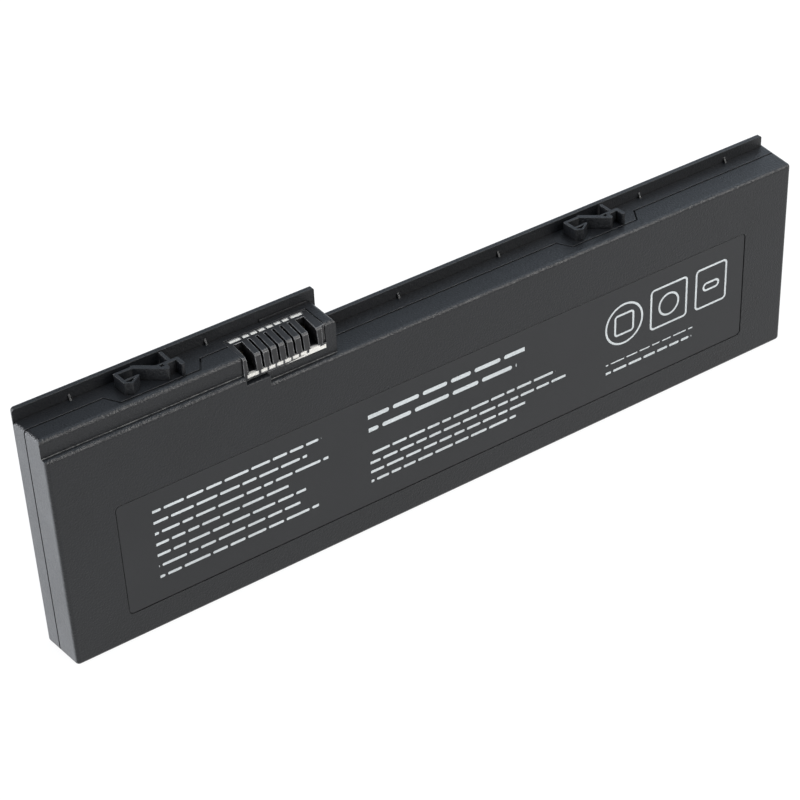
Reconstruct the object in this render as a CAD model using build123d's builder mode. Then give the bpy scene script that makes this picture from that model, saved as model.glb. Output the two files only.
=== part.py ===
"""Slim laptop battery, standing on its plain long edge.

X runs along the pack, Y through its thickness (label face at -Y, outer face at +Y) and Z up.
The origin is under the middle of the pack, at its lower edge. All sizes are millimetres.
"""
import os
from math import atan2, degrees, hypot
from build123d import *

# Cells
cell_count = 6
cell_width = 33.6
cell_thick = 9.9
cell_height = 48.5
cell_corner = 3.5
cell_edge = 0.8
cell_gap = 0.15
button_length = 5.0
button_width = 2.6
button_rise = 0.6

# Case walls and the room around the cells
wall = 0.9
cell_clear = 0.15
end_clear = 0.34
end_draft = 1.17
cap_space = 1.7
edge_round = 1.0

# Raised bay for the board and connector, at the left end
bay_length = 73.5
bay_rise = 8.5
band_depth = 1.4
band_height = 4.54
band_round = 1.1
notch_round = 0.2
crease_round = 0.15
shelf_flat = 0.04
ridge_round = 1.2

# Seam between the two covers
seam_y = 0.8
seam_width = 0.38
seam_depth = 0.6

# Lip along the top of the outer face
lip_rise = 2.95
lip_thick = 1.15
lip_past_step = 0.8
lip_right_inset = 1.2
lip_left_round = 1.1
lip_right_round = 0.5
corner_reach = 1.12
ledge_length = 12.5
ledge_rise = 0.6
ledge_depth = 0.25
gusset_from_end = 13.3
gusset_before_step = 27.2
gusset_past_step = 22.8
gusset_before_hook = 25.7
gusset_past_hook = 16.6
gusset_width = 0.5
gusset_rise = 1.3
gusset_reach = 0.7
gusset_root = 0.2

# Latch hooks
hook_from_left = 30.85
hook_spacing = 119.4
hook_rib = 0.75
hook_bar = 1.23
hook_arm = 0.93
hook_web = 0.48
hook_clear = 0.9
tongue_reach = 3.6
tongue_width = 19.2
tongue_slant = 2.1

# Label
label_side = 15.0
label_below = 7.4
label_above = 14.5
label_corner = 1.3
label_thick = 0.15
label_sunk = 0.08
label_clear = 0.22

# Connector
narrow_count = 6
wide_slot = 2.15
narrow_slot = 0.57
rib_width = 1.45
end_wall = 0.8
end_strip = 0.9
strip_set_back = 0.6
end_block = 2.75
fit_clear = 0.1
comb_drop = 0.2
comb_proud = 0.4
comb_chamfer = 0.45
slot_depth = 5.9
slot_lean = 0.08
comb_web = 0.85
comb_rim = 0.25
plate_thick = 0.9
floor_thick = 0.85
window_height = 6.1
notch_width = 6.0
notch_drop = 0.35
wide_tooth = 2.8
narrow_tooth = 1.55
tooth_clear = 0.05
tooth_depth = 0.95
tooth_drop = 0.1
apron_height = 0.5
apron_thick = 0.4
wedge_length = 10.6
wedge_rise = 1.0
carrier_back = 0.6
blade_thick = 0.35
power_blade_thick = 1.2
blade_depth = 0.9
blade_height = 2.4
tail_depth = 0.5

# Board and what it carries
board_thick = 1.0
board_clear = 0.4
board_corner = 0.6
pad_thick = 1.7
pad_margin = 6.0
chip_standoff = 0.1
lead_width = 0.4
lead_reach = 0.7
lead_rise = 0.5
switch_lead_count = 8
gauge_lead_count = 20
resistor_lead_count = 2
fuse_lead_count = 4
# Each board part's length, width, height and lead pitch
part_size = {
    "charge_switch": (4.9, 3.9, 1.5, 1.27),
    "discharge_switch": (4.9, 3.9, 1.5, 1.27),
    "gauge_chip": (7.8, 4.4, 1.0, 0.75),
    "sense_resistor": (6.3, 3.2, 0.6, 1.0),
    "pack_fuse": (4.0, 3.0, 1.2, 2.0),
}

# Links on top of the cells
strip_thick = 0.15
strip_width = 2.4
lane = 2.9
lane_change = 4.0
strip_end = 4.0
tab_width = 1.2
weld_length = 2.6
weld_width = 1.6
paper_thick = 0.2
paper_margin = 0.4
hole_clear = 0.3
tape_height = 20.0
tape_margin = 5.0
bead_size = 1.6
bead_length = 4.0
bead_lead = 0.4

# Sizes that follow from the above
row_width = cell_count * cell_width + (cell_count - 1) * cell_gap
length = row_width + 2 * (end_clear + end_draft + wall)
thick = cell_thick + 2 * (cell_clear + wall)
left = -length / 2
right = length / 2
front = -thick / 2
back = thick / 2
cell_top = wall + cell_height
top_right = cell_top + cap_space + wall
top_left = top_right + bay_rise
step_x = left + bay_length
band_y = front + band_depth
band_low = top_left - band_height
lip_end = step_x + lip_past_step
lip_right = right - lip_right_inset
lip_y = back - lip_thick
lip_end_round = min(edge_round, lip_thick / corner_reach)
cell_pitch = cell_width + cell_gap
cell_centres = [(n - (cell_count - 1) / 2) * cell_pitch for n in range(cell_count)]
right_hook = left + hook_from_left + hook_spacing
hook_centres = [(left + hook_from_left, top_left), (right_hook, top_right)]
gussets = [(left + gusset_from_end, top_left), (step_x - gusset_before_step, top_left),
           (step_x + gusset_past_step, top_right), (right_hook - gusset_before_hook, top_right),
           (right_hook + gusset_past_hook, top_right), (right - gusset_from_end, top_right)]

# Connector places: the window in the covers, then each slot from left to right
slot_widths = [wide_slot] + narrow_count * [narrow_slot] + [wide_slot]
comb_width = end_wall + sum(slot_widths) + len(slot_widths) * rib_width + end_strip
window_right = step_x - end_block
window_left = window_right - comb_width - 2 * fit_clear
window_low = top_left - window_height
comb_left = window_left + fit_clear
comb_right = comb_left + comb_width
comb_front = band_y - comb_proud
slot_back = comb_front + slot_depth
web_back = slot_back + comb_web
comb_back = web_back + tooth_depth + comb_rim
comb_top = top_left - comb_drop
plate_low = comb_top - plate_thick
apron_low = window_low + fit_clear
floor_low = apron_low + apron_height
slot_low = floor_low + floor_thick
slots = []
for slot_number, slot_width in enumerate(slot_widths):
    slot_start = comb_left + end_wall + sum(slot_widths[:slot_number]) + slot_number * rib_width
    slots.append((slot_start + slot_width / 2, slot_width))
down_slot = (slot_lean, 0, -1)
slant = Vector(down_slot).length

# Board and link levels
strip_low = cell_top + button_rise
strip_top = strip_low + strip_thick
board_low = strip_top + pad_thick
board_top = board_low + board_thick
board_left = left + end_draft + wall + board_clear
board_right = step_x - wall - board_clear
board_front = band_y + wall + board_clear
board_back = back - wall - board_clear

os.makedirs("parts", exist_ok=True)


def save(piece, name):
    """Label a finished piece and write its file."""
    piece.label = name
    export_step(piece, f"parts/{name}.step")


def half_at(y):
    """Half length of the drafted case at one depth."""
    return length / 2 - end_draft * (back - y) / thick


def plan(y_front, y_back, inset=0.0):
    """Corners of the case's plan between two depths, set in from its drafted ends."""
    near = half_at(y_front) - inset
    far = half_at(y_back) - inset
    return [(-near, y_front), (near, y_front), (far, y_back), (-far, y_back)]


def tongue(centre):
    """Corners of the back cover's tongue under a hook: wide at the seam, narrow at its tip."""
    tip = tongue_width / 2
    root = tip + tongue_slant
    tip_y = seam_y - tongue_reach
    return [(centre - root, seam_y), (centre - tip, tip_y), (centre + tip, tip_y), (centre + root, seam_y)]


# Outer form of the whole case: drafted ends, raised bay at the left, rounded edges
with BuildPart() as hull:
    with BuildSketch():
        with BuildLine():
            Polyline(*plan(front, back), close=True)
        make_face()
    extrude(amount=top_left)
    with BuildSketch(Plane.XZ):
        with BuildLine():
            Polyline((left, 0), (right, 0), (right, top_right), (step_x, top_right),
                     (step_x, top_left), (left, top_left), close=True)
        make_face()
    extrude(amount=thick, both=True, mode=Mode.INTERSECT)
    label_face_edges = hull.faces().sort_by(Axis.Y)[0].edges()
    outer_face_edges = hull.faces().sort_by(Axis.Y)[-1].edges().filter_by(
        lambda edge: edge.center().Z < top_right - wall)
    end_edges = hull.edges().filter_by(
        lambda edge: abs(edge.center().Y) < wall and edge.bounding_box().size.Y > thick - wall
        and not (abs(edge.center().X - step_x) < wall and edge.center().Z < top_left - wall))
    fillet(label_face_edges + outer_face_edges + end_edges, edge_round)
    # Seam groove around the ends and the lower edge
    with BuildSketch(Plane.XZ.offset(-seam_y - seam_width / 2)):
        with BuildLine():
            Polyline((left, 0), (right, 0), (right, top_right), (step_x, top_right),
                     (step_x, top_left), (left, top_left), close=True)
        make_face()
        with BuildLine():
            inner = seam_depth + end_draft * (back - seam_y) / thick
            Polyline((left + inner, seam_depth), (right - inner, seam_depth), (right - inner, top_right),
                     (step_x - seam_depth, top_right), (step_x - seam_depth, top_left),
                     (left + inner, top_left), close=True)
        make_face(mode=Mode.SUBTRACT)
    extrude(amount=seam_width, mode=Mode.SUBTRACT)
    # Seam groove along both top faces, stepping round the tongues
    for (hook_x, top), start, end in zip(hook_centres, (left, step_x), (window_left, right)):
        with BuildSketch(Plane.XY.offset(top)):
            with BuildLine():
                Polyline((start, seam_y), *tongue(hook_x), (end, seam_y))
            trace(line_width=seam_width)
        extrude(amount=-seam_depth, mode=Mode.SUBTRACT)

# Room inside: the cells' bay over the full length, and the board's bay above it at the left
with BuildPart() as room:
    with BuildSketch(Plane.XY.offset(wall)):
        with BuildLine():
            Polyline(*plan(front + wall, back - wall, wall), close=True)
        make_face()
    extrude(amount=top_right - 2 * wall)
    with BuildSketch(Plane.XY.offset(cell_top)):
        with BuildLine():
            bay = plan(band_y + wall, back - wall, wall)
            Polyline(bay[0], (step_x - wall, bay[0][1]), (step_x - wall, bay[3][1]), bay[3], close=True)
        make_face()
    extrude(amount=top_left - wall - cell_top)

# Window for the connector, open to the top and to the front
with BuildPart() as window:
    with BuildSketch(Plane.YZ.offset(window_left)):
        with BuildLine():
            window_back = comb_back + fit_clear
            Polyline((front - wall, window_low), (front - wall, top_left + wall),
                     (window_back, top_left + wall), (window_back, window_low), close=True)
        make_face()
    extrude(amount=window_right - window_left)

with BuildPart() as shell:
    add(hull.part)
    add(room.part, mode=Mode.SUBTRACT)
    add(window.part, mode=Mode.SUBTRACT)

# The label side of the seam, less the two tongues that belong to the back cover
with BuildPart() as label_side_room:
    with BuildSketch(Plane.XZ.offset(-seam_y)):
        with BuildLine():
            Polyline((left - wall, -wall), (right + wall, -wall), (right + wall, top_left + wall),
                     (left - wall, top_left + wall), close=True)
        make_face()
    extrude(amount=thick)
    for hook_x, top in hook_centres:
        with BuildSketch(Plane.XY.offset(top - wall)):
            with BuildLine():
                Polyline(*tongue(hook_x), close=True)
            make_face()
        extrude(amount=bay_rise, mode=Mode.SUBTRACT)

# Front cover: stepped band along the bay, key notch under the connector, shallow label recess
with BuildPart() as front_cover:
    add(shell.part)
    add(label_side_room.part, mode=Mode.INTERSECT)
    band_parts = ((left - wall, window_left, band_low, band_round),
                  (window_left, window_left + notch_width, window_low - notch_drop, notch_round),
                  (window_left + notch_width, step_x + wall, top_right, edge_round))
    for start, end, low, shoulder_round in band_parts:
        crease = min(crease_round, band_depth - shoulder_round - shelf_flat)
        with BuildSketch(Plane.YZ.offset(start)):
            with BuildLine():
                shoulder = CenterArc((front + shoulder_round, low - shoulder_round), shoulder_round, 180, -90)
                ridge = CenterArc((band_y + ridge_round, top_left - ridge_round), ridge_round, 180, -90)
                inner = CenterArc((band_y - crease, low + crease), crease, -90, 90)
                Line(shoulder @ 1, inner @ 0)
                Line(inner @ 1, ridge @ 0)
                Polyline(ridge @ 1, (band_y + ridge_round, top_left + wall), (front - wall, top_left + wall),
                         (front - wall, low - shoulder_round), shoulder @ 0)
            make_face()
        extrude(amount=end - start, mode=Mode.SUBTRACT)
    with BuildSketch(Plane.XZ.offset(-band_y - wall)):
        with Locations((window_left + notch_width / 2, window_low)):
            Rectangle(notch_width, 2 * notch_drop)
    extrude(amount=thick, mode=Mode.SUBTRACT)
    with BuildSketch(Plane.XZ.offset(-front - label_thick - label_sunk)):
        with Locations((0, (label_below + top_right - label_above) / 2)):
            RectangleRounded(length - 2 * label_side, top_right - label_above - label_below, label_corner)
    extrude(amount=thick, mode=Mode.SUBTRACT)
save(front_cover.part, "front_cover")

# Lip along the top of the outer face, higher beside the raised bay and rounded at its free corners
with BuildPart() as lip:
    with BuildSketch(Plane.XZ.offset(-back)) as elevation:
        with BuildLine():
            Polyline((left, top_right - wall), (left, top_left + lip_rise), (lip_end, top_left + lip_rise),
                     (lip_end, top_right + lip_rise), (lip_right, top_right + lip_rise),
                     (lip_right, top_right - wall), close=True)
        make_face()
        for x, top, corner_round in ((left, top_left, lip_left_round), (lip_end, top_left, lip_right_round),
                                     (lip_right, top_right, lip_right_round)):
            fillet(elevation.vertices().sort_by_distance((x, top + lip_rise, 0))[0], corner_round)
    extrude(amount=lip_thick)
    with BuildSketch():
        with BuildLine():
            Polyline(*plan(lip_y, back), close=True)
        lip_plan = make_face()
        fillet(lip_plan.vertices().group_by(Axis.Y)[-1], lip_end_round)
    extrude(amount=top_left + lip_rise, mode=Mode.INTERSECT)
    # Low ledge along the lip's foot, behind the connector
    with BuildSketch(Plane.XY.offset(top_left)):
        with Locations((step_x - end_draft, lip_y)):
            Rectangle(ledge_length, 2 * ledge_depth, align=(Align.MAX, Align.CENTER))
    extrude(amount=ledge_rise)

# Ribs of a hook, as runs of points from its centre: the slanted bar, the left end with a rib beside the lip,
# a leg to the front and a small hollow triangle, then the right end's arm, its brace and a stub to the lip
hook_ribs = [
    ([(-3.1, 3.0), (2.5, -1.5)], hook_bar),
    ([(-3.0, 3.0), (-7.4, 3.0), (-7.2, -0.95)], hook_rib),
    ([(-7.2, -0.28), (-3.65, -0.22), (-5.95, -1.8), (-7.2, -0.95)], hook_web),
    ([(0.9, 0.3), (3.1, 0.3)], hook_web),
    ([(3.1, 0.1), (5.9, 0.12), (5.93, -2.1)], hook_arm),
    ([(2.65, -1.65), (2.85, 0.1)], hook_rib),
    ([(4.2, 0.1), (4.2, lip_y - hook_clear)], hook_rib),
]
# Small eye between the bar, the arm and the brace
hook_eye = [(1.47, 0.04), (2.32, 0.16), (2.56, -0.64), (1.64, -0.69)]

# Back cover: outer half of the case with the tall lip, its small gussets and the moulded latch hooks
with BuildPart() as back_cover:
    add(shell.part)
    add(label_side_room.part, mode=Mode.SUBTRACT)
    add(lip.part)
    for hook_x, top in hook_centres:
        with BuildSketch(Plane.XY.offset(top)):
            for run, rib_thick in hook_ribs:
                for (x_1, y_1), (x_2, y_2) in zip(run, run[1:]):
                    with Locations((hook_x + (x_1 + x_2) / 2, (y_1 + y_2) / 2)):
                        SlotCenterToCenter(hypot(x_2 - x_1, y_2 - y_1), rib_thick,
                                           rotation=degrees(atan2(y_2 - y_1, x_2 - x_1)))
            with BuildLine():
                Polyline(*[(hook_x + x, y) for x, y in hook_eye], close=True)
            make_face(mode=Mode.SUBTRACT)
        extrude(amount=lip_rise)
    for gusset_x, top in gussets:
        with BuildSketch(Plane.YZ.offset(gusset_x - gusset_width / 2)):
            with BuildLine():
                Polyline((lip_y + gusset_root, top - gusset_root), (lip_y + gusset_root, top + gusset_rise),
                         (lip_y, top + gusset_rise), (lip_y - gusset_reach, top),
                         (lip_y - gusset_reach, top - gusset_root), close=True)
            make_face()
        extrude(amount=gusset_width)
save(back_cover.part, "back_cover")

# Label film, just below the face of the front cover
with BuildPart() as label:
    with BuildSketch(Plane.XZ.offset(-front - label_sunk - label_thick)):
        with Locations((0, (label_below + top_right - label_above) / 2)):
            RectangleRounded(length - 2 * label_side - 2 * label_clear,
                             top_right - label_above - label_below - 2 * label_clear,
                             label_corner - label_clear)
    extrude(amount=label_thick)
save(label.part, "label")

# Cells: flat drawn cans with rounded corners, each with one terminal button on its cap
for number, cell_x in enumerate(cell_centres, start=1):
    with BuildPart() as cell:
        with BuildSketch(Plane.XY.offset(wall)):
            with Locations((cell_x, 0)):
                RectangleRounded(cell_width, cell_thick, cell_corner)
        extrude(amount=cell_height)
        chamfer(cell.faces().filter_by(Axis.Z).edges(), cell_edge)
        with BuildSketch(Plane.XY.offset(cell_top)):
            with Locations((cell_x, 0)):
                SlotOverall(button_length, button_width)
        extrude(amount=button_rise)
    save(cell.part, f"cell_{number}")


def link(route, weld_lane, welded, tab_x, tab_lane):
    """A nickel strip on the cell caps: pads formed down to the cans and a tab up to the board."""
    with BuildPart() as strip:
        with BuildSketch(Plane.XY.offset(strip_low)):
            with BuildLine():
                Polyline(*route)
            trace(line_width=strip_width)
        extrude(amount=strip_thick)
        if welded:
            with BuildSketch(Plane.XY.offset(cell_top)):
                with Locations(*[(cell_centres[n], weld_lane) for n in welded]):
                    Rectangle(weld_length, weld_width)
            extrude(amount=button_rise + strip_thick)
        with BuildSketch(Plane.XY.offset(strip_low)):
            with Locations((tab_x, tab_lane)):
                Rectangle(strip_thick, tab_width, align=(Align.MIN, Align.CENTER))
        extrude(amount=board_low - strip_low)
    return strip.part


# Links: two parallel cells to a group, three groups in series, every joint on the caps
weld_lanes = [lane, lane, lane, lane, -lane, -lane]
link_start = board_left + strip_end / 2
lower_turn = cell_centres[1] + cell_width / 4
upper_turn = cell_centres[3] + cell_width / 4
upper_start = step_x - end_block - strip_end / 4
save(link([(link_start, 0), (cell_centres[1] + strip_end, 0)], 0, [], link_start, 0), "link_negative")
save(link([(link_start, lane), (lower_turn, lane), (lower_turn + lane_change, 0),
           (cell_centres[3] + strip_end, 0)], lane, [0, 1], link_start, lane), "link_lower")
save(link([(upper_start, lane), (upper_turn, lane), (upper_turn + lane_change, 0),
           (cell_centres[5] + strip_end, 0)], lane, [2, 3], upper_start, lane), "link_upper")
save(link([(cell_centres[1], -lane), (cell_centres[5] + strip_end, -lane)], -lane, [4, 5],
          cell_centres[1], -lane), "link_positive")

# Paper over the caps, open at the buttons and at the welds
with BuildPart() as cap_insulator:
    with BuildSketch(Plane.XY.offset(cell_top)):
        Rectangle(row_width - 2 * paper_margin, cell_thick - 2 * paper_margin)
        with Locations(*[(cell_x, 0) for cell_x in cell_centres]):
            Rectangle(button_length + 2 * hole_clear, button_width + 2 * hole_clear, mode=Mode.SUBTRACT)
        with Locations(*zip(cell_centres, weld_lanes)):
            Rectangle(weld_length + 2 * hole_clear, weld_width + 2 * hole_clear, mode=Mode.SUBTRACT)
    extrude(amount=paper_thick)
save(cap_insulator.part, "cap_insulator")

# Tape that holds the row of cells to the back cover
with BuildPart() as mounting_tape:
    with BuildSketch(Plane.XZ.offset(-back + wall)):
        with Locations((0, wall + cell_height / 2)):
            Rectangle(row_width - 2 * tape_margin, tape_height)
    extrude(amount=cell_clear)
save(mounting_tape.part, "mounting_tape")

# Foam under the board, then the board itself
with BuildPart() as board_pad:
    with BuildSketch(Plane.XY.offset(strip_top)):
        with Locations(((board_left + window_left) / 2, (board_back - strip_width / 2) / 2)):
            Rectangle(window_left - board_left - 2 * pad_margin, board_back + strip_width / 2)
    extrude(amount=pad_thick)
save(board_pad.part, "board_pad")

with BuildPart() as protection_board:
    with BuildSketch(Plane.XY.offset(board_low)):
        with Locations(((board_left + board_right) / 2, (board_front + board_back) / 2)):
            RectangleRounded(board_right - board_left, board_back - board_front, board_corner)
    extrude(amount=board_thick)
save(protection_board.part, "protection_board")


def chip(place, leads, body_length, body_width, body_height, lead_pitch):
    """A moulded part on the board with a row of leads along each side, in one of the equal places."""
    chip_x = board_left + (place + 0.5) * (comb_left - board_left) / len(part_size)
    chip_y = (board_front + board_back) / 2
    with BuildPart() as package:
        with BuildSketch(Plane.XY.offset(board_top + chip_standoff)):
            with Locations((chip_x, chip_y)):
                Rectangle(body_length, body_width)
        extrude(amount=body_height)
        with BuildSketch(Plane.XY.offset(board_top)):
            with Locations((chip_x, chip_y)):
                with GridLocations(lead_pitch, body_width, leads // 2, 2):
                    Rectangle(lead_width, 2 * lead_reach)
        extrude(amount=lead_rise)
    return package.part


lead_counts = [switch_lead_count, switch_lead_count, gauge_lead_count, resistor_lead_count, fuse_lead_count]
for place, (part_name, leads) in enumerate(zip(part_size, lead_counts)):
    save(chip(place, leads, *part_size[part_name]), part_name)

# Thermistor bead lying on the paper over the first cell, its two leads up to the board
with BuildPart() as thermistor:
    bead_z = cell_top + paper_thick + bead_size / 2
    with BuildSketch(Plane.YZ.offset(cell_centres[0] - bead_length / 2)):
        with Locations((-lane, bead_z)):
            Circle(bead_size / 2)
    extrude(amount=bead_length)
    with BuildSketch(Plane.XY.offset(bead_z)):
        with Locations((cell_centres[0], -lane)):
            with GridLocations(bead_size, 0, 2, 1):
                Rectangle(bead_lead, bead_lead)
    extrude(amount=board_low - bead_z)
save(thermistor.part, "thermistor")


def tooth_width(slot_width):
    """Width of the pale tooth that closes the ends of one slot."""
    return wide_tooth if slot_width == wide_slot else narrow_tooth


def blade_width(slot_width):
    """Thickness of the contact blade in one slot."""
    return power_blade_thick if slot_width == wide_slot else blade_thick


def lean_to(y, z):
    """Sideways shift of a leaning slot at one depth and height, from where it starts at the comb's edge."""
    return slot_lean * (y - comb_front + comb_top - z)


tail_y = slot_back - tail_depth
tail_lean = lean_to(tail_y, slot_low)
wedge_right = comb_right - end_strip
wedge = [(wedge_right - wedge_length, apron_low), (comb_right, apron_low),
         (comb_right, apron_low + wedge_rise * (1 + end_strip / wedge_length))]


def slot_plan(slot_x, slot_width, y_front, y_back, z=comb_top):
    """Corners of a leaning slot, or of a blade in it, seen from above at one height."""
    near = slot_x + lean_to(y_front, z)
    far = slot_x + lean_to(y_back, z)
    half = slot_width / 2
    return [(near - half, y_front), (near + half, y_front), (far + half, y_back), (far - half, y_back)]


# Connector housing: a comb that caps the carrier, its slots open to the top and to the front
with BuildPart() as connector_housing:
    with BuildSketch(Plane.YZ.offset(comb_left)):
        with BuildLine():
            Polyline((comb_front, apron_low), (comb_front, comb_top), (comb_back, comb_top),
                     (comb_back, plate_low), (web_back, plate_low), (web_back, floor_low),
                     (comb_front + apron_thick, floor_low), (comb_front + apron_thick, apron_low), close=True)
        make_face()
    extrude(amount=comb_width)
    chamfer(connector_housing.edges().filter_by(Axis.X).group_by(Axis.Y)[0].sort_by(Axis.Z)[-1], comb_chamfer)
    with BuildSketch(Plane.XY.offset(comb_top)):
        for slot_x, slot_width in slots:
            with BuildLine():
                Polyline(*slot_plan(slot_x, slot_width, comb_front - slot_depth, slot_back), close=True)
            make_face()
    extrude(amount=(comb_top - slot_low) * slant, dir=down_slot, mode=Mode.SUBTRACT)
    with BuildSketch(Plane.XY.offset(slot_low)):
        with Locations((comb_right, comb_front)):
            Rectangle(2 * end_strip, 2 * strip_set_back)
    extrude(amount=bay_rise, mode=Mode.SUBTRACT)
    with BuildSketch(Plane.XY.offset(plate_low)):
        for slot_x, slot_width in slots:
            with Locations((slot_x + lean_to(web_back, comb_top), web_back)):
                Rectangle(tooth_width(slot_width) + 2 * tooth_clear, tooth_depth + tooth_clear,
                          align=(Align.CENTER, Align.MIN))
    extrude(amount=bay_rise, mode=Mode.SUBTRACT)
    with BuildSketch(Plane.XZ.offset(-comb_front - 2 * apron_thick - tooth_clear)):
        for slot_x, slot_width in slots:
            with Locations((slot_x + lean_to(comb_front, slot_low), floor_low)):
                Rectangle(tooth_width(slot_width) + 2 * tooth_clear, floor_thick,
                          align=(Align.CENTER, Align.MIN))
        with BuildLine():
            Polyline(*wedge, close=True)
        make_face()
    extrude(amount=thick, mode=Mode.SUBTRACT)
    with BuildSketch(Plane.XY.offset(floor_low)):
        for slot_x, slot_width in slots:
            with Locations((slot_x + tail_lean, tail_y)):
                Rectangle(blade_width(slot_width) + 2 * tooth_clear, tail_depth + 2 * tooth_clear)
    extrude(amount=floor_thick, mode=Mode.SUBTRACT)
save(connector_housing.part, "connector_housing")

# Contact carrier: pale block on the board, its teeth closing both ends of every slot
with BuildPart() as contact_carrier:
    carrier_front = band_y + wall + fit_clear
    nose = comb_front + apron_thick + tooth_clear
    with BuildSketch(Plane.YZ.offset(comb_left + fit_clear)):
        with BuildLine():
            Polyline((nose, apron_low), (nose, floor_low), (web_back + tooth_clear, floor_low),
                     (web_back + tooth_clear, plate_low), (comb_back + carrier_back, plate_low),
                     (comb_back + carrier_back, board_top), (carrier_front, board_top),
                     (carrier_front, apron_low), close=True)
        make_face()
    extrude(amount=comb_width - 2 * fit_clear)
    with BuildSketch(Plane.XY.offset(plate_low)):
        for slot_x, slot_width in slots:
            with Locations((slot_x + lean_to(web_back, comb_top), web_back + tooth_clear)):
                Rectangle(tooth_width(slot_width), tooth_depth - tooth_clear, align=(Align.CENTER, Align.MIN))
    extrude(amount=plate_thick - tooth_drop)
    with BuildSketch(Plane.XZ.offset(-comb_front - 2 * apron_thick)):
        for slot_x, slot_width in slots:
            with Locations((slot_x + lean_to(comb_front, slot_low), floor_low)):
                Rectangle(tooth_width(slot_width), floor_thick - tooth_clear, align=(Align.CENTER, Align.MIN))
    extrude(amount=2 * apron_thick - tooth_clear)
    with BuildSketch(Plane.XZ.offset(-comb_front - 2 * apron_thick)):
        with BuildLine():
            Polyline((wedge[0][0] + end_strip, apron_low), (comb_right - fit_clear, apron_low),
                     (comb_right - fit_clear, wedge[2][1] - tooth_drop), close=True)
        make_face()
    extrude(amount=2 * apron_thick - tooth_clear)
    with BuildSketch(Plane.XY.offset(board_top)):
        for slot_x, slot_width in slots:
            with Locations((slot_x + tail_lean, tail_y)):
                Rectangle(blade_width(slot_width) + 2 * tooth_clear, tail_depth + 2 * tooth_clear)
    extrude(amount=floor_low - board_top, mode=Mode.SUBTRACT)
save(contact_carrier.part, "contact_carrier")

# Contacts: a blade at the back of each slot and a tail down through the carrier to the board
for number, (slot_x, slot_width) in enumerate(slots, start=1):
    with BuildPart() as contact:
        with BuildSketch(Plane.XY.offset(slot_low + blade_height)):
            with BuildLine():
                Polyline(*slot_plan(slot_x, blade_width(slot_width), slot_back - blade_depth, slot_back,
                                    slot_low + blade_height), close=True)
            make_face()
        extrude(amount=blade_height * slant, dir=down_slot)
        with BuildSketch(Plane.XY.offset(board_top)):
            with Locations((slot_x + tail_lean, tail_y)):
                Rectangle(blade_width(slot_width), tail_depth)
        extrude(amount=slot_low - board_top)
    save(contact.part, f"contact_{number}")
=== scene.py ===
# %% [markdown]
# A slim laptop battery stands on its plain long edge, with the label face turned to the camera. Its
# solids come ready from the imported model, in metres and in the place where they belong, so this lesson is
# about the rest: the camera, the light, and a finish for every surface. The box that the solids fill
# places the light and the floor.

# %% Load the frame
import math

import bpy
from mathutils import Matrix, Vector


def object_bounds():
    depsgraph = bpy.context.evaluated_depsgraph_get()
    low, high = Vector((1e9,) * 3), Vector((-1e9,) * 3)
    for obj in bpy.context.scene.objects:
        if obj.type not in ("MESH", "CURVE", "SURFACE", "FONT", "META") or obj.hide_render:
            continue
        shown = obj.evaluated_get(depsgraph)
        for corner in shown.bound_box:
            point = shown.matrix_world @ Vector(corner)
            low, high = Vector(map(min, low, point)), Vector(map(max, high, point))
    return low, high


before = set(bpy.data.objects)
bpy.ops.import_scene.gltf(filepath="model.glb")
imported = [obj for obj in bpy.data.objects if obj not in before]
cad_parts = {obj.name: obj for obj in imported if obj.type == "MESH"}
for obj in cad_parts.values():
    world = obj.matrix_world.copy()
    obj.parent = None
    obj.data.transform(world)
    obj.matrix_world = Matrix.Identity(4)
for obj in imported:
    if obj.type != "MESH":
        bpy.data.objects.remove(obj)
solid_low, solid_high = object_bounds()
centre = (solid_low + solid_high) / 2
pack_length = solid_high.x - solid_low.x
scene = bpy.context.scene
print("solids:", len(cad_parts), "pack length:", round(pack_length, 4), "m")

# %% [markdown]
# The picture was taken from the left, well above the pack, with a long lens that keeps its edges nearly
# parallel. A camera can be aimed with a constraint, but three angles say the same thing in words a
# photographer uses: the heading from the +Y axis, the dip below the horizon, and a small roll. From them
# come the camera's own axes.

# %% Camera
LENS_MM = 103.03
SENSOR_MM = 36.0
CAMERA_PLACE = Vector((-0.24598, -0.35759, 0.33689))
HEADING = math.radians(33.28)
DIP = math.radians(35.85)
ROLL = math.radians(2.74)

forward = Vector((math.sin(HEADING) * math.cos(DIP), math.cos(HEADING) * math.cos(DIP), -math.sin(DIP)))
level_right = Vector((math.cos(HEADING), -math.sin(HEADING), 0.0))
level_up = level_right.cross(forward)
camera_up = level_up * math.cos(ROLL) + level_right * math.sin(ROLL)
camera_right = forward.cross(camera_up)

camera_data = bpy.data.cameras.new("photo_camera")
camera_data.lens = LENS_MM
camera_data.sensor_width = SENSOR_MM
camera_data.clip_start = 0.01
camera_data.clip_end = 20.0
camera = bpy.data.objects.new("photo_camera", camera_data)
scene.collection.objects.link(camera)
camera.matrix_world = Matrix.Translation(CAMERA_PLACE) @ Matrix(
    (camera_right, camera_up, -forward)).transposed().to_4x4()
scene.camera = camera
camera_distance = (CAMERA_PLACE - centre).length
print("camera looks", tuple(round(v, 3) for v in forward), "from", round(camera_distance, 3), "m")

# %% [markdown]
# Dark plastic shows its surroundings more than its own colour, so the room matters as much as the paint.
# Small lamps would draw hard thin lines along the edges, so the light comes from soft panels, as in a
# studio. One to the viewer's right draws the rounded edges, two at the left fill the narrow end, and dim
# ones above, at the right and behind grade the top, which mirrors them. A small one lights the near
# corner. Giving each panel a brightness, and working out its power from its area, keeps it just as bright
# at another size.

# %% Soft light
scene.view_settings.view_transform = "Standard"
COOL = (0.84, 0.94, 1.06)
NEUTRAL = (0.97, 0.99, 1.04)
WARM = (1.02, 1.0, 0.98)


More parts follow.
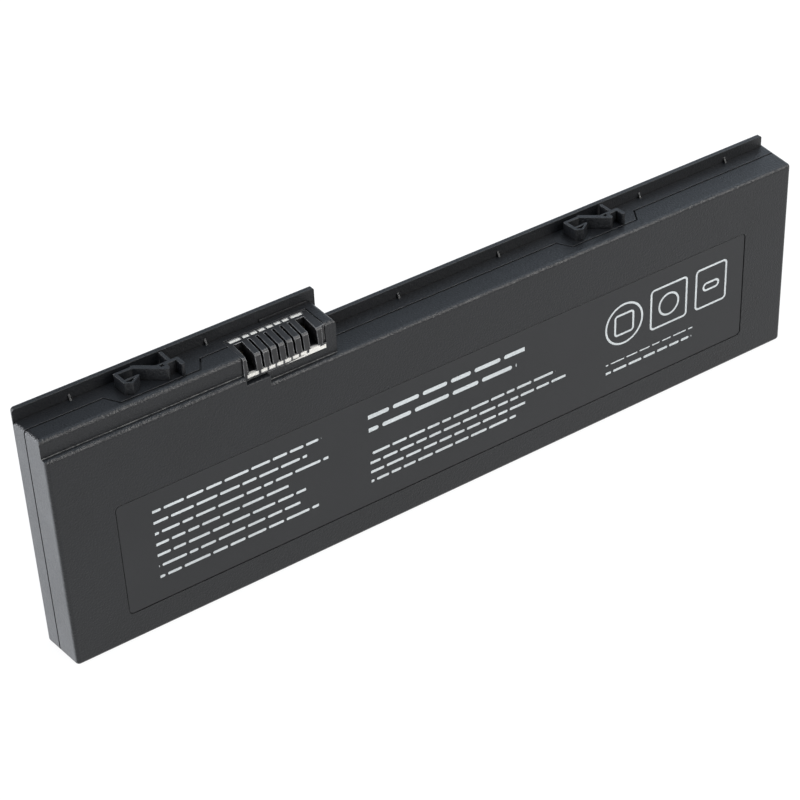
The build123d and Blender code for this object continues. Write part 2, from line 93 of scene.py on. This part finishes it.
def light_panel(name, turn, rise, distance, width, height, brightness, tint):
    """A soft panel facing the pack, turned from the label face to the right and raised, in degrees."""
    lamp = bpy.data.lights.new(name, "AREA")
    lamp.shape = "RECTANGLE"
    lamp.size = width
    lamp.size_y = height
    lamp.energy = brightness * math.pi * width * height
    lamp.color = tint
    stand = bpy.data.objects.new(name, lamp)
    scene.collection.objects.link(stand)
    turn, rise = math.radians(turn), math.radians(rise)
    toward = Vector((math.sin(turn) * math.cos(rise), -math.cos(turn) * math.cos(rise), math.sin(rise)))
    stand.location = centre + toward * distance
    stand.rotation_euler = toward.to_track_quat("Z", "Y").to_euler()


light_panel("left_low", -142, 9, 1.0, 1.8, 0.30, 9.0, NEUTRAL)
light_panel("left_side", -97, 28, 1.2, 2.0, 1.0, 3.0, NEUTRAL)
light_panel("edge_panel", 31, 32, 1.3, 1.1, 0.8, 7.6, WARM)
light_panel("high_panel", 37, 84, 1.3, 1.6, 0.9, 1.6, COOL)
light_panel("right_side", 92, 35, 1.2, 1.4, 1.0, 1.5, COOL)
light_panel("back_low", 140, 14, 1.2, 1.0, 0.5, 0.7, COOL)
light_panel("back_high", 140, 45, 1.2, 1.2, 0.8, 0.6, COOL)
light_panel("corner_panel", -56, 34, 1.3, 0.3, 0.3, 9.0, NEUTRAL)

world = bpy.data.worlds.new("grey_room")
world.use_nodes = True
scene.world = world
room = world.node_tree.nodes["Background"]
room.inputs["Color"].default_value = (0.86, 0.93, 1.0, 1.0)
room.inputs["Strength"].default_value = 0.04
print("lamps:", [lamp.name for lamp in bpy.data.lights])

# %% [markdown]
# Every finish below is a small tree of shader nodes. A few helpers keep the trees short: they add a node
# and fill or link its named sockets, do a sum, stretch a range, mix two colours, and make or place a node
# group. Finishes that share an effect share such a group, built once.

# %% Node helpers


def put(tree, socket, value):
    """Link an output to a socket, or set the socket to a plain value."""
    if isinstance(value, bpy.types.NodeSocket):
        tree.links.new(value, socket)
    else:
        socket.default_value = value


def node(tree, kind, **sockets):
    """Add one shader node; each keyword is an input socket's name with _ for a space."""
    made = tree.nodes.new("ShaderNode" + kind)
    for name, value in sockets.items():
        put(tree, made.inputs[name.replace("_", " ")], value)
    return made


def sum_of(tree, operation, first, second=0.0, third=0.0):
    """One Math node's result."""
    made = tree.nodes.new("ShaderNodeMath")
    made.operation = operation
    for socket, value in zip(made.inputs, (first, second, third)):
        put(tree, socket, value)
    return made.outputs["Value"]


def spread(tree, value, low, high, to_low, to_high):
    """Stretch one range of values over another and hold it there."""
    made = node(tree, "MapRange", Value=value, From_Min=low, From_Max=high, To_Min=to_low, To_Max=to_high)
    return made.outputs["Result"]


def between(tree, value, low, high):
    """1 where a value lies between two others."""
    above = sum_of(tree, "GREATER_THAN", value, low)
    return sum_of(tree, "MULTIPLY", above, sum_of(tree, "LESS_THAN", value, high))


def tint_between(tree, amount, first, second):
    """A colour between two, by a mask."""
    made = tree.nodes.new("ShaderNodeMix")
    made.data_type = "RGBA"
    put(tree, made.inputs["Factor"], amount)
    put(tree, made.inputs[6], first)
    put(tree, made.inputs[7], second)
    return made.outputs[2]


def new_group(name, inputs, outputs):
    """An empty node group with float inputs (name, default) and outputs (name, socket type)."""
    group = bpy.data.node_groups.new(name, "ShaderNodeTree")
    for label, default in inputs:
        socket = group.interface.new_socket(label, in_out="INPUT", socket_type="NodeSocketFloat")
        socket.default_value = default
    for label, kind in outputs:
        group.interface.new_socket(label, in_out="OUTPUT", socket_type=kind)
    return group, group.nodes.new("NodeGroupInput").outputs, group.nodes.new("NodeGroupOutput").inputs


def use_group(tree, group, **sockets):
    """Place a node group in a material with its own values."""
    made = tree.nodes.new("ShaderNodeGroup")
    made.node_tree = group
    for name, value in sockets.items():
        put(tree, made.inputs[name.replace("_", " ")], value)
    return made.outputs


print("helpers ready")

# %% [markdown]
# A mould for a case like this is spark-eroded, which leaves a fine, even grain in the plastic. The grain
# is too small to model, so it is a height for a Bump node. A rounded edge that catches the light picks
# the grain out, so the group can raise it where the normal lies between two faces. It also gives slow
# patches, because no moulding is evenly dull.

# %% Moulded grain
FLOAT = "NodeSocketFloat"
COLOUR = "NodeSocketColor"
VECTOR = "NodeSocketVector"

grain_group, grain_in, grain_out = new_group(
    "moulded_grain", [("Grain per metre", 3000.0), ("Patches per metre", 60.0), ("Round gain", 0.0)],
    [("Height", FLOAT), ("Patch", FLOAT)])
grain_at = node(grain_group, "TexCoord").outputs["Object"]
fine = node(grain_group, "TexNoise", Vector=grain_at, Scale=grain_in["Grain per metre"],
            Detail=2.0, Roughness=0.6)
slow = node(grain_group, "TexNoise", Vector=grain_at, Scale=grain_in["Patches per metre"],
            Detail=3.0, Roughness=0.55)
grain_normal = node(grain_group, "NewGeometry").outputs["Normal"]
grain_facing = node(grain_group, "SeparateXYZ", Vector=grain_normal).outputs
flatness = 0.0
for axis in "XYZ":
    flatness = sum_of(grain_group, "MAXIMUM", flatness, sum_of(grain_group, "ABSOLUTE", grain_facing[axis]))
on_round = spread(grain_group, flatness, 0.98, 0.80, 0.0, 1.0)
coarser = sum_of(grain_group, "MULTIPLY_ADD", on_round, grain_in["Round gain"], 1.0)
level_grain = sum_of(grain_group, "SUBTRACT", fine.outputs["Fac"], 0.5)
put(grain_group, grain_out["Height"], sum_of(grain_group, "MULTIPLY", level_grain, coarser))
put(grain_group, grain_out["Patch"], slow.outputs["Fac"])
print("group:", grain_group.name)

# %% [markdown]
# Real moulded edges are never sharp, and handling polishes them first. The Bevel node looks a little way
# around each point and returns the normal of a rounded edge. Where that normal turns away from the face's
# own, an edge is near, which gives a mask for the polish and for a lighter colour: part wear, part painted
# highlight. In an inner corner the same node would draw a false bright line, so an Ambient Occlusion node
# finds the corners that close in, keeps the plain normal there and gives a mask for painted shade.

# %% Rounded edge
edge_group, edge_in, edge_out = new_group(
    "rounded_edge", [("Radius", 0.0002), ("Wear", 1.0)],
    [("Normal", VECTOR), ("Edge", FLOAT), ("Corner", FLOAT)])
rounding = node(edge_group, "Bevel", Radius=edge_in["Radius"])
rounding.samples = 6
own_normal = node(edge_group, "NewGeometry").outputs["Normal"]
reach = sum_of(edge_group, "MULTIPLY", edge_in["Radius"], 2.5)
shelter = node(edge_group, "AmbientOcclusion", Distance=reach)
shelter.samples = 5
shelter.only_local = True
inner_corner = spread(edge_group, shelter.outputs["AO"], 0.9, 0.5, 0.0, 1.0)
soft_normal = edge_group.nodes.new("ShaderNodeMix")
soft_normal.data_type = "VECTOR"
put(edge_group, soft_normal.inputs["Factor"], spread(edge_group, inner_corner, 0.0, 0.3, 0.0, 1.0))
put(edge_group, soft_normal.inputs[4], rounding.outputs["Normal"])
put(edge_group, soft_normal.inputs[5], own_normal)
turn = edge_group.nodes.new("ShaderNodeVectorMath")
turn.operation = "DOT_PRODUCT"
put(edge_group, turn.inputs[0], soft_normal.outputs[1])
put(edge_group, turn.inputs[1], own_normal)
near_edge = spread(edge_group, turn.outputs["Value"], 0.99, 0.85, 0.0, 1.0)
edge_at = node(edge_group, "TexCoord").outputs["Object"]
edge_noise = node(edge_group, "TexNoise", Vector=edge_at, Scale=700.0, Detail=3.0)
uneven_edge = spread(edge_group, edge_noise.outputs["Fac"], 0.38, 0.62, 0.35, 1.0)
# Near edges the mask lightens the colour: part wear, part painted highlight.
wear_and_highlight = sum_of(edge_group, "MULTIPLY", near_edge, uneven_edge)
put(edge_group, edge_out["Normal"], soft_normal.outputs[1])
put(edge_group, edge_out["Edge"], sum_of(edge_group, "MULTIPLY", wear_and_highlight, edge_in["Wear"]))
put(edge_group, edge_out["Corner"], inner_corner)
print("group:", edge_group.name)

# %% [markdown]
# A finish is one Principled shader. This helper starts a material with it, so that each finish below only
# says what is its own: its colours, how rough it is, and what moves its normal.

# %% New finish
PATCH_GAIN = 1.3
PATCH_DULL = 0.03
# How dark the painted shade in inner corners is, as a share of the dark colour.
CORNER_SHADE_SHARE = 0.1
EDGE_POLISH = 0.12


def new_finish(name):
    """An empty material with a Principled shader: the material, its tree and the shader's inputs."""
    material = bpy.data.materials.new(name)
    material.use_nodes = True
    tree = material.node_tree
    shader = tree.nodes["Principled BSDF"]
    return material, tree, shader.inputs


def wear_on(*names_and_material):
    """Give the last argument, a material, to the CAD nodes named before it."""
    *names, material = names_and_material
    for name in names:
        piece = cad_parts[name]
        piece.data.materials.clear()
        piece.data.materials.append(material)
    print(material.name, "on", ", ".join(names))


def moulded_finish(name, dark, light, rough, grain_height, edge_radius, edge_lighten,
                   grain=3000.0, shine=0.5, glint=0.03, round_gain=0.0):
    """Moulded plastic: slow patches, fine grain, worn edges with a painted highlight, painted shade in
    inner corners.
    """
    material, tree, shader = new_finish(name)
    surface = use_group(tree, grain_group, Grain_per_metre=grain, Round_gain=round_gain)
    edge = use_group(tree, edge_group, Radius=edge_radius, Wear=edge_lighten)
    patch = spread(tree, surface["Patch"], 0.3, 0.7, 0.0, 1.0)
    plain = tint_between(tree, patch, (*dark, 1.0), (*[PATCH_GAIN * v for v in dark], 1.0))
    # Near edges the colour turns to the light one: wear, and a painted highlight.
    plain = tint_between(tree, edge["Edge"], plain, (*light, 1.0))
    # Inner corners take a painted shade, far darker than the plastic.
    corner_shade = tuple(CORNER_SHADE_SHARE * v for v in dark)
    put(tree, shader["Base Color"], tint_between(tree, edge["Corner"], plain, (*corner_shade, 1.0)))
    dull = spread(tree, surface["Patch"], 0.3, 0.7, rough - PATCH_DULL, rough + PATCH_DULL)
    glints = spread(tree, surface["Height"], -0.2, 0.2, -glint, glint)
    dull = sum_of(tree, "ADD", dull, glints)
    polish = sum_of(tree, "MULTIPLY", edge["Edge"], EDGE_POLISH)
    put(tree, shader["Roughness"], sum_of(tree, "SUBTRACT", dull, polish))
    shader["Specular IOR Level"].default_value = shine
    relief = node(tree, "Bump", Height=surface["Height"], Strength=1.0, Distance=grain_height,
                  Normal=edge["Normal"])
    put(tree, shader["Normal"], relief.outputs["Normal"])
    return material


# %% [markdown]
# The two covers are one charcoal plastic with a cool cast. It is nearly black in itself: most of the grey
# that the eye sees is the pale room in its sheen.

# %% Case plastic
case_plastic = moulded_finish(
    "case_plastic", dark=(0.0042, 0.0047, 0.0056), light=(0.0090, 0.0095, 0.0105), rough=0.36,
    grain_height=0.00011, edge_radius=0.00018, edge_lighten=0.5, grain=2200.0, shine=0.36,
    glint=0.08, round_gain=0.9)
wear_on("front_cover", "back_cover", case_plastic)

# %% [markdown]
# The narrow ends of the pack take painted light: a lighter grey in their colour stands in for the light
# that falls on them, and they are made a little rougher. The mask takes the surfaces that face along the
# pack and lie at its very ends, and a noise keeps it uneven.

# %% Painted light on the ends
END_LIGHT_GREY = (0.080, 0.082, 0.084, 1.0)
END_DULL = 0.17

end_group, end_in, end_out = new_group(
    "painted_end_light", [("Plain to", 0.1000), ("Lit from", 0.1015)], [("Lit", FLOAT)])
end_at = node(end_group, "TexCoord").outputs["Object"]
facing = node(end_group, "SeparateXYZ", Vector=node(end_group, "NewGeometry").outputs["Normal"]).outputs
faces_out = spread(end_group, sum_of(end_group, "ABSOLUTE", facing["X"]), 0.72, 0.98, 0.0, 1.0)
end_spot = node(end_group, "SeparateXYZ", Vector=end_at).outputs
far_out = spread(end_group, sum_of(end_group, "ABSOLUTE", end_spot["X"]),
                 end_in["Plain to"], end_in["Lit from"], 0.0, 1.0)
end_noise = node(end_group, "TexNoise", Vector=end_at, Scale=90.0, Detail=4.0, Roughness=0.6)
uneven = spread(end_group, end_noise.outputs["Fac"], 0.3, 0.7, 0.75, 1.0)
at_end = sum_of(end_group, "MULTIPLY", faces_out, far_out)
put(end_group, end_out["Lit"], sum_of(end_group, "MULTIPLY", at_end, uneven))

# The end mask lightens the case colour there: painted light.
case_tree = case_plastic.node_tree
case_shader = case_tree.nodes["Principled BSDF"].inputs
end_light_mask = use_group(case_tree, end_group)["Lit"]
case_colour_before_ends = case_shader["Base Color"].links[0].from_socket
put(case_tree, case_shader["Base Color"], tint_between(case_tree, end_light_mask, case_colour_before_ends, END_LIGHT_GREY))
case_roughness_before_ends = case_shader["Roughness"].links[0].from_socket
end_roughness = sum_of(case_tree, "MULTIPLY_ADD", end_light_mask, END_DULL, case_roughness_before_ends)
put(case_tree, case_shader["Roughness"], end_roughness)
print("group:", end_group.name)

# %% [markdown]
# A thin painted highlight runs along the crease under the raised band, and along the lower one beyond
# the notch. A crease is a line in space, so a point is in it when its height and depth are both close to
# the line's. Two ends along the pack stop the line, and a fine noise breaks it up.

# %% Painted highlight in the creases
# The crease line is a painted highlight: light grey on the near-black case.
CREASE_HIGHLIGHT_GREY = (0.074, 0.074, 0.071, 1.0)
HIGHLIGHT_HALF_WIDTH = 0.0002
CREASE_DEPTH = -0.0046
creases = [
    dict(From=-0.1030, To=-0.0545, Height=0.05596),
    dict(From=-0.0476, To=-0.0300, Height=0.0520),
]

highlight_group, highlight_in, highlight_out = new_group(
    "crease_highlight", [("From", -0.1), ("To", 0.1), ("Height", 0.0), ("Depth", 0.0), ("Half width", 0.0002)],
    [("Highlight", FLOAT)])
highlight_at = node(highlight_group, "TexCoord").outputs["Object"]
highlight_spot = node(highlight_group, "SeparateXYZ", Vector=highlight_at).outputs
height_error = sum_of(highlight_group, "SUBTRACT", highlight_spot["Z"], highlight_in["Height"])
off_height = sum_of(highlight_group, "ABSOLUTE", height_error)
depth_error = sum_of(highlight_group, "SUBTRACT", highlight_spot["Y"], highlight_in["Depth"])
off_depth = sum_of(highlight_group, "ABSOLUTE", depth_error)
off_crease = sum_of(highlight_group, "DIVIDE", sum_of(highlight_group, "MAXIMUM", off_height, off_depth),
                    highlight_in["Half width"])
in_crease = spread(highlight_group, off_crease, 1.0, 0.6, 0.0, 1.0)
within_ends = between(highlight_group, highlight_spot["X"], highlight_in["From"], highlight_in["To"])
in_crease = sum_of(highlight_group, "MULTIPLY", in_crease, within_ends)
crease_noise = node(highlight_group, "TexNoise", Vector=highlight_at, Scale=900.0, Detail=3.0, Roughness=0.6)
broken = spread(highlight_group, crease_noise.outputs["Fac"], 0.42, 0.62, 0.2, 1.0)
put(highlight_group, highlight_out["Highlight"], sum_of(highlight_group, "MULTIPLY", in_crease, broken))

highlight_masks = [
    use_group(case_tree, highlight_group, Depth=CREASE_DEPTH, Half_width=HIGHLIGHT_HALF_WIDTH, **crease)["Highlight"]
    for crease in creases]
highlighted = sum_of(case_tree, "MAXIMUM", *highlight_masks)
case_with_end_light = case_shader["Base Color"].links[0].from_socket
put(case_tree, case_shader["Base Color"], tint_between(case_tree, highlighted, case_with_end_light, CREASE_HIGHLIGHT_GREY))
print("group:", highlight_group.name)

# %% [markdown]
# The connector's comb is a finer, darker plastic with less grain. Its front corners turn light grey: wear
# from the blades that slide through it, and a painted highlight. Under it sits a pale carrier, which shows
# as bright ends in the slots.

# %% Connector plastics
comb_plastic = moulded_finish(
    "comb_plastic", dark=(0.0055, 0.0055, 0.0060), light=(0.25, 0.25, 0.25), rough=0.38,
    grain_height=0.00002, edge_radius=0.00030, edge_lighten=1.0, shine=0.42)
wear_on("connector_housing", comb_plastic)
carrier_plastic = moulded_finish(
    "carrier_plastic", dark=(0.40, 0.39, 0.36), light=(0.50, 0.49, 0.46), rough=0.5,
    grain_height=0.00001, edge_radius=0.00020, edge_lighten=0.4)
wear_on("contact_carrier", carrier_plastic)

# %% [markdown]
# The label's print is light strokes on a dark film. Thin curves could draw it, but ink has no thickness
# to speak of, so it is worked out in the film's own finish. The first group makes rows of dashes: the
# height gives the row's number, and along each row a Voronoi texture in one dimension gives dashes of
# uneven length. Measuring from the middle line of each dash keeps its ends round, and a random number for
# each row leaves a ragged right side.

# %% Rows of dashes
ROW_SHIFT = 17.3
BLOCK_SHIFT = 900.0

dash_group, dash_in, dash_out = new_group(
    "dash_rows",
    [("Left", 0.0), ("Right", 0.01), ("Low", 0.0), ("High", 0.01), ("Pitch", 0.002), ("Stroke", 0.0006),
     ("Dash", 0.004), ("Ragged", 0.3)],
    [("Ink", FLOAT)])
dash_at = node(dash_group, "SeparateXYZ", Vector=node(dash_group, "TexCoord").outputs["Object"]).outputs
lift = sum_of(dash_group, "SUBTRACT", dash_at["Z"], dash_in["Low"])
row = sum_of(dash_group, "FLOOR", sum_of(dash_group, "DIVIDE", lift, dash_in["Pitch"]))
row_middle = sum_of(dash_group, "MULTIPLY", sum_of(dash_group, "ADD", row, 0.5), dash_in["Pitch"])
off_middle = sum_of(dash_group, "SUBTRACT", lift, row_middle)
along = sum_of(dash_group, "DIVIDE", dash_at["X"], dash_in["Dash"])
dashes = dash_group.nodes.new("ShaderNodeTexVoronoi")
dashes.voronoi_dimensions = "1D"
dashes.feature = "DISTANCE_TO_EDGE"
dashes.inputs["Scale"].default_value = 1.0
put(dash_group, dashes.inputs["W"], sum_of(dash_group, "MULTIPLY_ADD", row, ROW_SHIFT, along))
to_end = sum_of(dash_group, "MULTIPLY", dashes.outputs["Distance"], dash_in["Dash"])
past_end = sum_of(dash_group, "MAXIMUM", sum_of(dash_group, "SUBTRACT", dash_in["Stroke"], to_end), 0.0)
squares = sum_of(dash_group, "ADD", sum_of(dash_group, "POWER", past_end, 2.0),
                 sum_of(dash_group, "POWER", sum_of(dash_group, "ABSOLUTE", off_middle), 2.0))
from_line = sum_of(dash_group, "DIVIDE", sum_of(dash_group, "SQRT", squares), dash_in["Stroke"])
in_stroke = spread(dash_group, from_line, 0.54, 0.46, 0.0, 1.0)
lottery = dash_group.nodes.new("ShaderNodeTexWhiteNoise")
lottery.noise_dimensions = "1D"
put(dash_group, lottery.inputs["W"], sum_of(dash_group, "MULTIPLY_ADD", dash_in["Left"], BLOCK_SHIFT, row))
width = sum_of(dash_group, "SUBTRACT", dash_in["Right"], dash_in["Left"])
widest_cut = sum_of(dash_group, "MULTIPLY", width, dash_in["Ragged"])
short = sum_of(dash_group, "MULTIPLY", widest_cut, lottery.outputs["Value"])
row_end = sum_of(dash_group, "SUBTRACT", dash_in["Right"], short)
in_block = sum_of(dash_group, "MULTIPLY", between(dash_group, dash_at["X"], dash_in["Left"], row_end),
                  between(dash_group, dash_at["Z"], dash_in["Low"], dash_in["High"]))
put(dash_group, dash_out["Ink"], sum_of(dash_group, "MULTIPLY", in_stroke, in_block))
print("group:", dash_group.name)

# %% [markdown]
# The second group draws one outlined shape. The distance to a rectangle with rounded corners is a short
# sum, and the outline is where that distance is less than half a stroke. A corner as large as the
# rectangle makes a ring.

# %% Outlined shape
shape_group, shape_in, shape_out = new_group(
    "outlined_shape",
    [("Centre X", 0.0), ("Centre Z", 0.0), ("Half width", 0.005), ("Half height", 0.005), ("Corner", 0.001),
     ("Line", 0.0005)],
    [("Ink", FLOAT)])
shape_at = node(shape_group, "SeparateXYZ", Vector=node(shape_group, "TexCoord").outputs["Object"]).outputs
outside = []
for axis, middle, half in (("X", "Centre X", "Half width"), ("Z", "Centre Z", "Half height")):
    off_centre = sum_of(shape_group, "SUBTRACT", shape_at[axis], shape_in[middle])
    away = sum_of(shape_group, "ABSOLUTE", off_centre)
    flat = sum_of(shape_group, "SUBTRACT", shape_in[half], shape_in["Corner"])
    outside.append(sum_of(shape_group, "SUBTRACT", away, flat))
in_corner = sum_of(shape_group, "ADD", *[
    sum_of(shape_group, "POWER", sum_of(shape_group, "MAXIMUM", side, 0.0), 2.0) for side in outside])
beside = sum_of(shape_group, "MINIMUM", sum_of(shape_group, "MAXIMUM", *outside), 0.0)
reach_out = sum_of(shape_group, "ADD", sum_of(shape_group, "SQRT", in_corner), beside)
to_outline = sum_of(shape_group, "ABSOLUTE", sum_of(shape_group, "SUBTRACT", reach_out, shape_in["Corner"]))
strokes_away = sum_of(shape_group, "DIVIDE", to_outline, shape_in["Line"])
put(shape_group, shape_out["Ink"], spread(shape_group, strokes_away, 0.54, 0.46, 0.0, 1.0))
print("group:", shape_group.name)

# %% [markdown]
# The label is a satin film almost in the case's own tone, and smoother. Its print is a plain layout of
# the two groups: four blocks of rows along the film, and at the right three outlines with a smaller one
# in each. A slow noise thins the ink a little, as on any print that has been handled.

# %% Label film
label_film, film_tree, film_shader = new_finish("label_film")
film = use_group(film_tree, grain_group, Grain_per_metre=5000.0)
film_edge = use_group(film_tree, edge_group, Radius=0.0001, Wear=0.3)
row_blocks = [
    dict(Left=-0.080, Right=-0.034, Low=0.0125, High=0.0335, Pitch=0.0030, Stroke=0.0007, Dash=0.0052),
    dict(Left=-0.024, Right=0.034, Low=0.0265, High=0.0337, Pitch=0.0036, Stroke=0.0011, Dash=0.0085),
    dict(Left=-0.024, Right=0.034, Low=0.0125, High=0.0230, Pitch=0.0026, Stroke=0.0007, Dash=0.0046),
    dict(Left=0.045, Right=0.083, Low=0.0125, High=0.0164, Pitch=0.0026, Stroke=0.0007, Dash=0.0040),
]
outlines = [
    dict(Centre_X=0.0505, Centre_Z=0.0265, Half_width=0.0056, Half_height=0.0056, Corner=0.0056),
    dict(Centre_X=0.0505, Centre_Z=0.0265, Half_width=0.0028, Half_height=0.0028, Corner=0.0008),
    dict(Centre_X=0.0645, Centre_Z=0.0265, Half_width=0.0056, Half_height=0.0056, Corner=0.0010),
    dict(Centre_X=0.0645, Centre_Z=0.0265, Half_width=0.0030, Half_height=0.0030, Corner=0.0030),
    dict(Centre_X=0.0780, Centre_Z=0.0265, Half_width=0.0048, Half_height=0.0056, Corner=0.0010),
    dict(Centre_X=0.0780, Centre_Z=0.0265, Half_width=0.0024, Half_height=0.0010, Corner=0.0010),
]
inks = [use_group(film_tree, dash_group, **block)["Ink"] for block in row_blocks]
inks += [use_group(film_tree, shape_group, Line=0.00055, **outline)["Ink"] for outline in outlines]
print_mask = inks[0]
for ink in inks[1:]:
    print_mask = sum_of(film_tree, "MAXIMUM", print_mask, ink)
thinned = spread(film_tree, film["Patch"], 0.3, 0.7, 0.82, 1.0)
print_mask = sum_of(film_tree, "MULTIPLY", print_mask, thinned)
film_shade = tint_between(film_tree, spread(film_tree, film["Patch"], 0.3, 0.7, 0.0, 1.0),
                          (0.0048, 0.0053, 0.0063, 1.0), (0.0068, 0.0073, 0.0084, 1.0))
# Inner corners of the film turn near black: painted shade.
film_with_corner_shade = tint_between(film_tree, film_edge["Corner"], film_shade, (0.001, 0.001, 0.001, 1.0))
put(film_tree, film_shader["Base Color"],
    tint_between(film_tree, print_mask, film_with_corner_shade, (0.40, 0.42, 0.42, 1.0)))
film_dull = spread(film_tree, film["Patch"], 0.3, 0.7, 0.38, 0.43)
put(film_tree, film_shader["Roughness"], sum_of(film_tree, "MULTIPLY_ADD", print_mask, 0.1, film_dull))
film_shader["Specular IOR Level"].default_value = 0.40
film_relief = node(film_tree, "Bump", Height=film["Height"], Strength=1.0, Distance=0.000006,
                   Normal=film_edge["Normal"])
put(film_tree, film_shader["Normal"], film_relief.outputs["Normal"])
wear_on("label", label_film)

# %% [markdown]
# Bare metal inside the pack: brushed cans for the cells, plated strip for the links, and bronze for the
# contacts, darkened to near black as painted shade where they sit deep in their slots. Brushing stretches a
# noise along one direction, so the same recipe serves all three with other colours.

# %% Metals


def brushed_metal(name, dark, light, rough, stretch):
    """Metal with fine lines along one axis."""
    material, tree, shader = new_finish(name)
    at = node(tree, "TexCoord").outputs["Object"]
    along = node(tree, "Mapping", Vector=at, Scale=stretch)
    lines = node(tree, "TexNoise", Vector=along.outputs["Vector"], Scale=1.0, Detail=4.0, Roughness=0.6)
    put(tree, shader["Base Color"], tint_between(tree, lines.outputs["Fac"], (*dark, 1.0), (*light, 1.0)))
    put(tree, shader["Roughness"], spread(tree, lines.outputs["Fac"], 0.3, 0.7, rough - 0.06, rough + 0.06))
    shader["Metallic"].default_value = 1.0
    relief = node(tree, "Bump", Height=lines.outputs["Fac"], Strength=0.6, Distance=0.00001)
    put(tree, shader["Normal"], relief.outputs["Normal"])
    return material


cell_can = brushed_metal("cell_can", (0.66, 0.67, 0.69), (0.82, 0.83, 0.84), 0.34, (900.0, 900.0, 40.0))
wear_on(*[f"cell_{number}" for number in range(1, 7)], cell_can)
nickel_strip = brushed_metal(
    "nickel_strip", (0.60, 0.57, 0.52), (0.76, 0.73, 0.68), 0.3, (60.0, 1400.0, 1400.0))
wear_on("link_negative", "link_lower", "link_upper", "link_positive", nickel_strip)
# The contacts' bronze is darkened to near black: painted shade in their slots.
contact_shaded_bronze = brushed_metal(
    "contact_shaded_bronze", (0.060, 0.048, 0.034), (0.110, 0.088, 0.060), 0.42, (1500.0, 1500.0, 120.0))
wear_on(*[f"contact_{number}" for number in range(1, 9)], contact_shaded_bronze)

# %% [markdown]
# The rest is sealed inside: the board, the parts on it, and the paper, tape and foam around the cells.
# They follow the same moulded recipe with their own colours and grain, so that a pack drawn open would
# look right too.

# %% Inner finishes
INNER_EDGE = 0.0001

board_mask = moulded_finish(
    "board_mask", dark=(0.012, 0.07, 0.025), light=(0.03, 0.13, 0.05), rough=0.3,
    grain_height=0.000004, edge_radius=INNER_EDGE, edge_lighten=0.3)
wear_on("protection_board", board_mask)
chip_resin = moulded_finish(
    "chip_resin", dark=(0.012, 0.012, 0.013), light=(0.03, 0.03, 0.032), rough=0.55,
    grain_height=0.00001, edge_radius=INNER_EDGE, edge_lighten=0.5)
wear_on("charge_switch", "discharge_switch", "gauge_chip", "sense_resistor", "pack_fuse", chip_resin)
bead_epoxy = moulded_finish(
    "bead_epoxy", dark=(0.03, 0.018, 0.008), light=(0.06, 0.04, 0.02), rough=0.25,
    grain_height=0.000004, edge_radius=INNER_EDGE, edge_lighten=0.2)
wear_on("thermistor", bead_epoxy)
fish_paper = moulded_finish(
    "fish_paper", dark=(0.35, 0.42, 0.28), light=(0.45, 0.52, 0.36), rough=0.8,
    grain_height=0.00003, edge_radius=INNER_EDGE, edge_lighten=0.0, grain=1500.0)
wear_on("cap_insulator", fish_paper)
white_tape = moulded_finish(
    "white_tape", dark=(0.74, 0.74, 0.70), light=(0.84, 0.84, 0.80), rough=0.7,
    grain_height=0.00003, edge_radius=INNER_EDGE, edge_lighten=0.0, grain=1200.0)
wear_on("mounting_tape", white_tape)
black_foam = moulded_finish(
    "black_foam", dark=(0.01, 0.01, 0.01), light=(0.03, 0.03, 0.03), rough=0.9,
    grain_height=0.00015, edge_radius=INNER_EDGE, edge_lighten=0.0, grain=1800.0)
wear_on("board_pad", black_foam)

# %% [markdown]
# The floor is a wide pale sheet. The camera, and any glossy surface, sees it as plain white; a small
# share of it stays an ordinary white surface, which keeps the soft shadow where the pack stands.

# %% Floor
FLOOR_HALF = 6.0
FLOOR_GAP = 0.0001
SHADOW_SHARE = 0.12

floor_mesh = bpy.data.meshes.new("floor")
corners = [(-FLOOR_HALF, -FLOOR_HALF), (FLOOR_HALF, -FLOOR_HALF),
           (FLOOR_HALF, FLOOR_HALF), (-FLOOR_HALF, FLOOR_HALF)]
floor_mesh.from_pydata([(x, y, solid_low.z - FLOOR_GAP) for x, y in corners], [], [(0, 1, 2, 3)])
floor = bpy.data.objects.new("floor", floor_mesh)
scene.collection.objects.link(floor)

floor_white = bpy.data.materials.new("floor_white")
floor_white.use_nodes = True
floor_tree = floor_white.node_tree
floor_tree.nodes.clear()
sheet = node(floor_tree, "BsdfDiffuse", Color=(0.9, 0.9, 0.9, 1.0))
glow = node(floor_tree, "Emission", Color=(1.0, 1.0, 1.0, 1.0), Strength=1.0)
ray = node(floor_tree, "LightPath").outputs
seen = sum_of(floor_tree, "MAXIMUM", ray["Is Camera Ray"], ray["Is Glossy Ray"])
seen = sum_of(floor_tree, "MAXIMUM", seen, ray["Is Transmission Ray"])
share = sum_of(floor_tree, "MULTIPLY", seen, 1.0 - SHADOW_SHARE)
mixed = floor_tree.nodes.new("ShaderNodeMixShader")
put(floor_tree, mixed.inputs[0], share)
put(floor_tree, mixed.inputs[1], sheet.outputs["BSDF"])
put(floor_tree, mixed.inputs[2], glow.outputs["Emission"])
node(floor_tree, "OutputMaterial", Surface=mixed.outputs["Shader"])
floor_mesh.materials.append(floor_white)
print("floor at", round(solid_low.z - FLOOR_GAP, 5), "m")
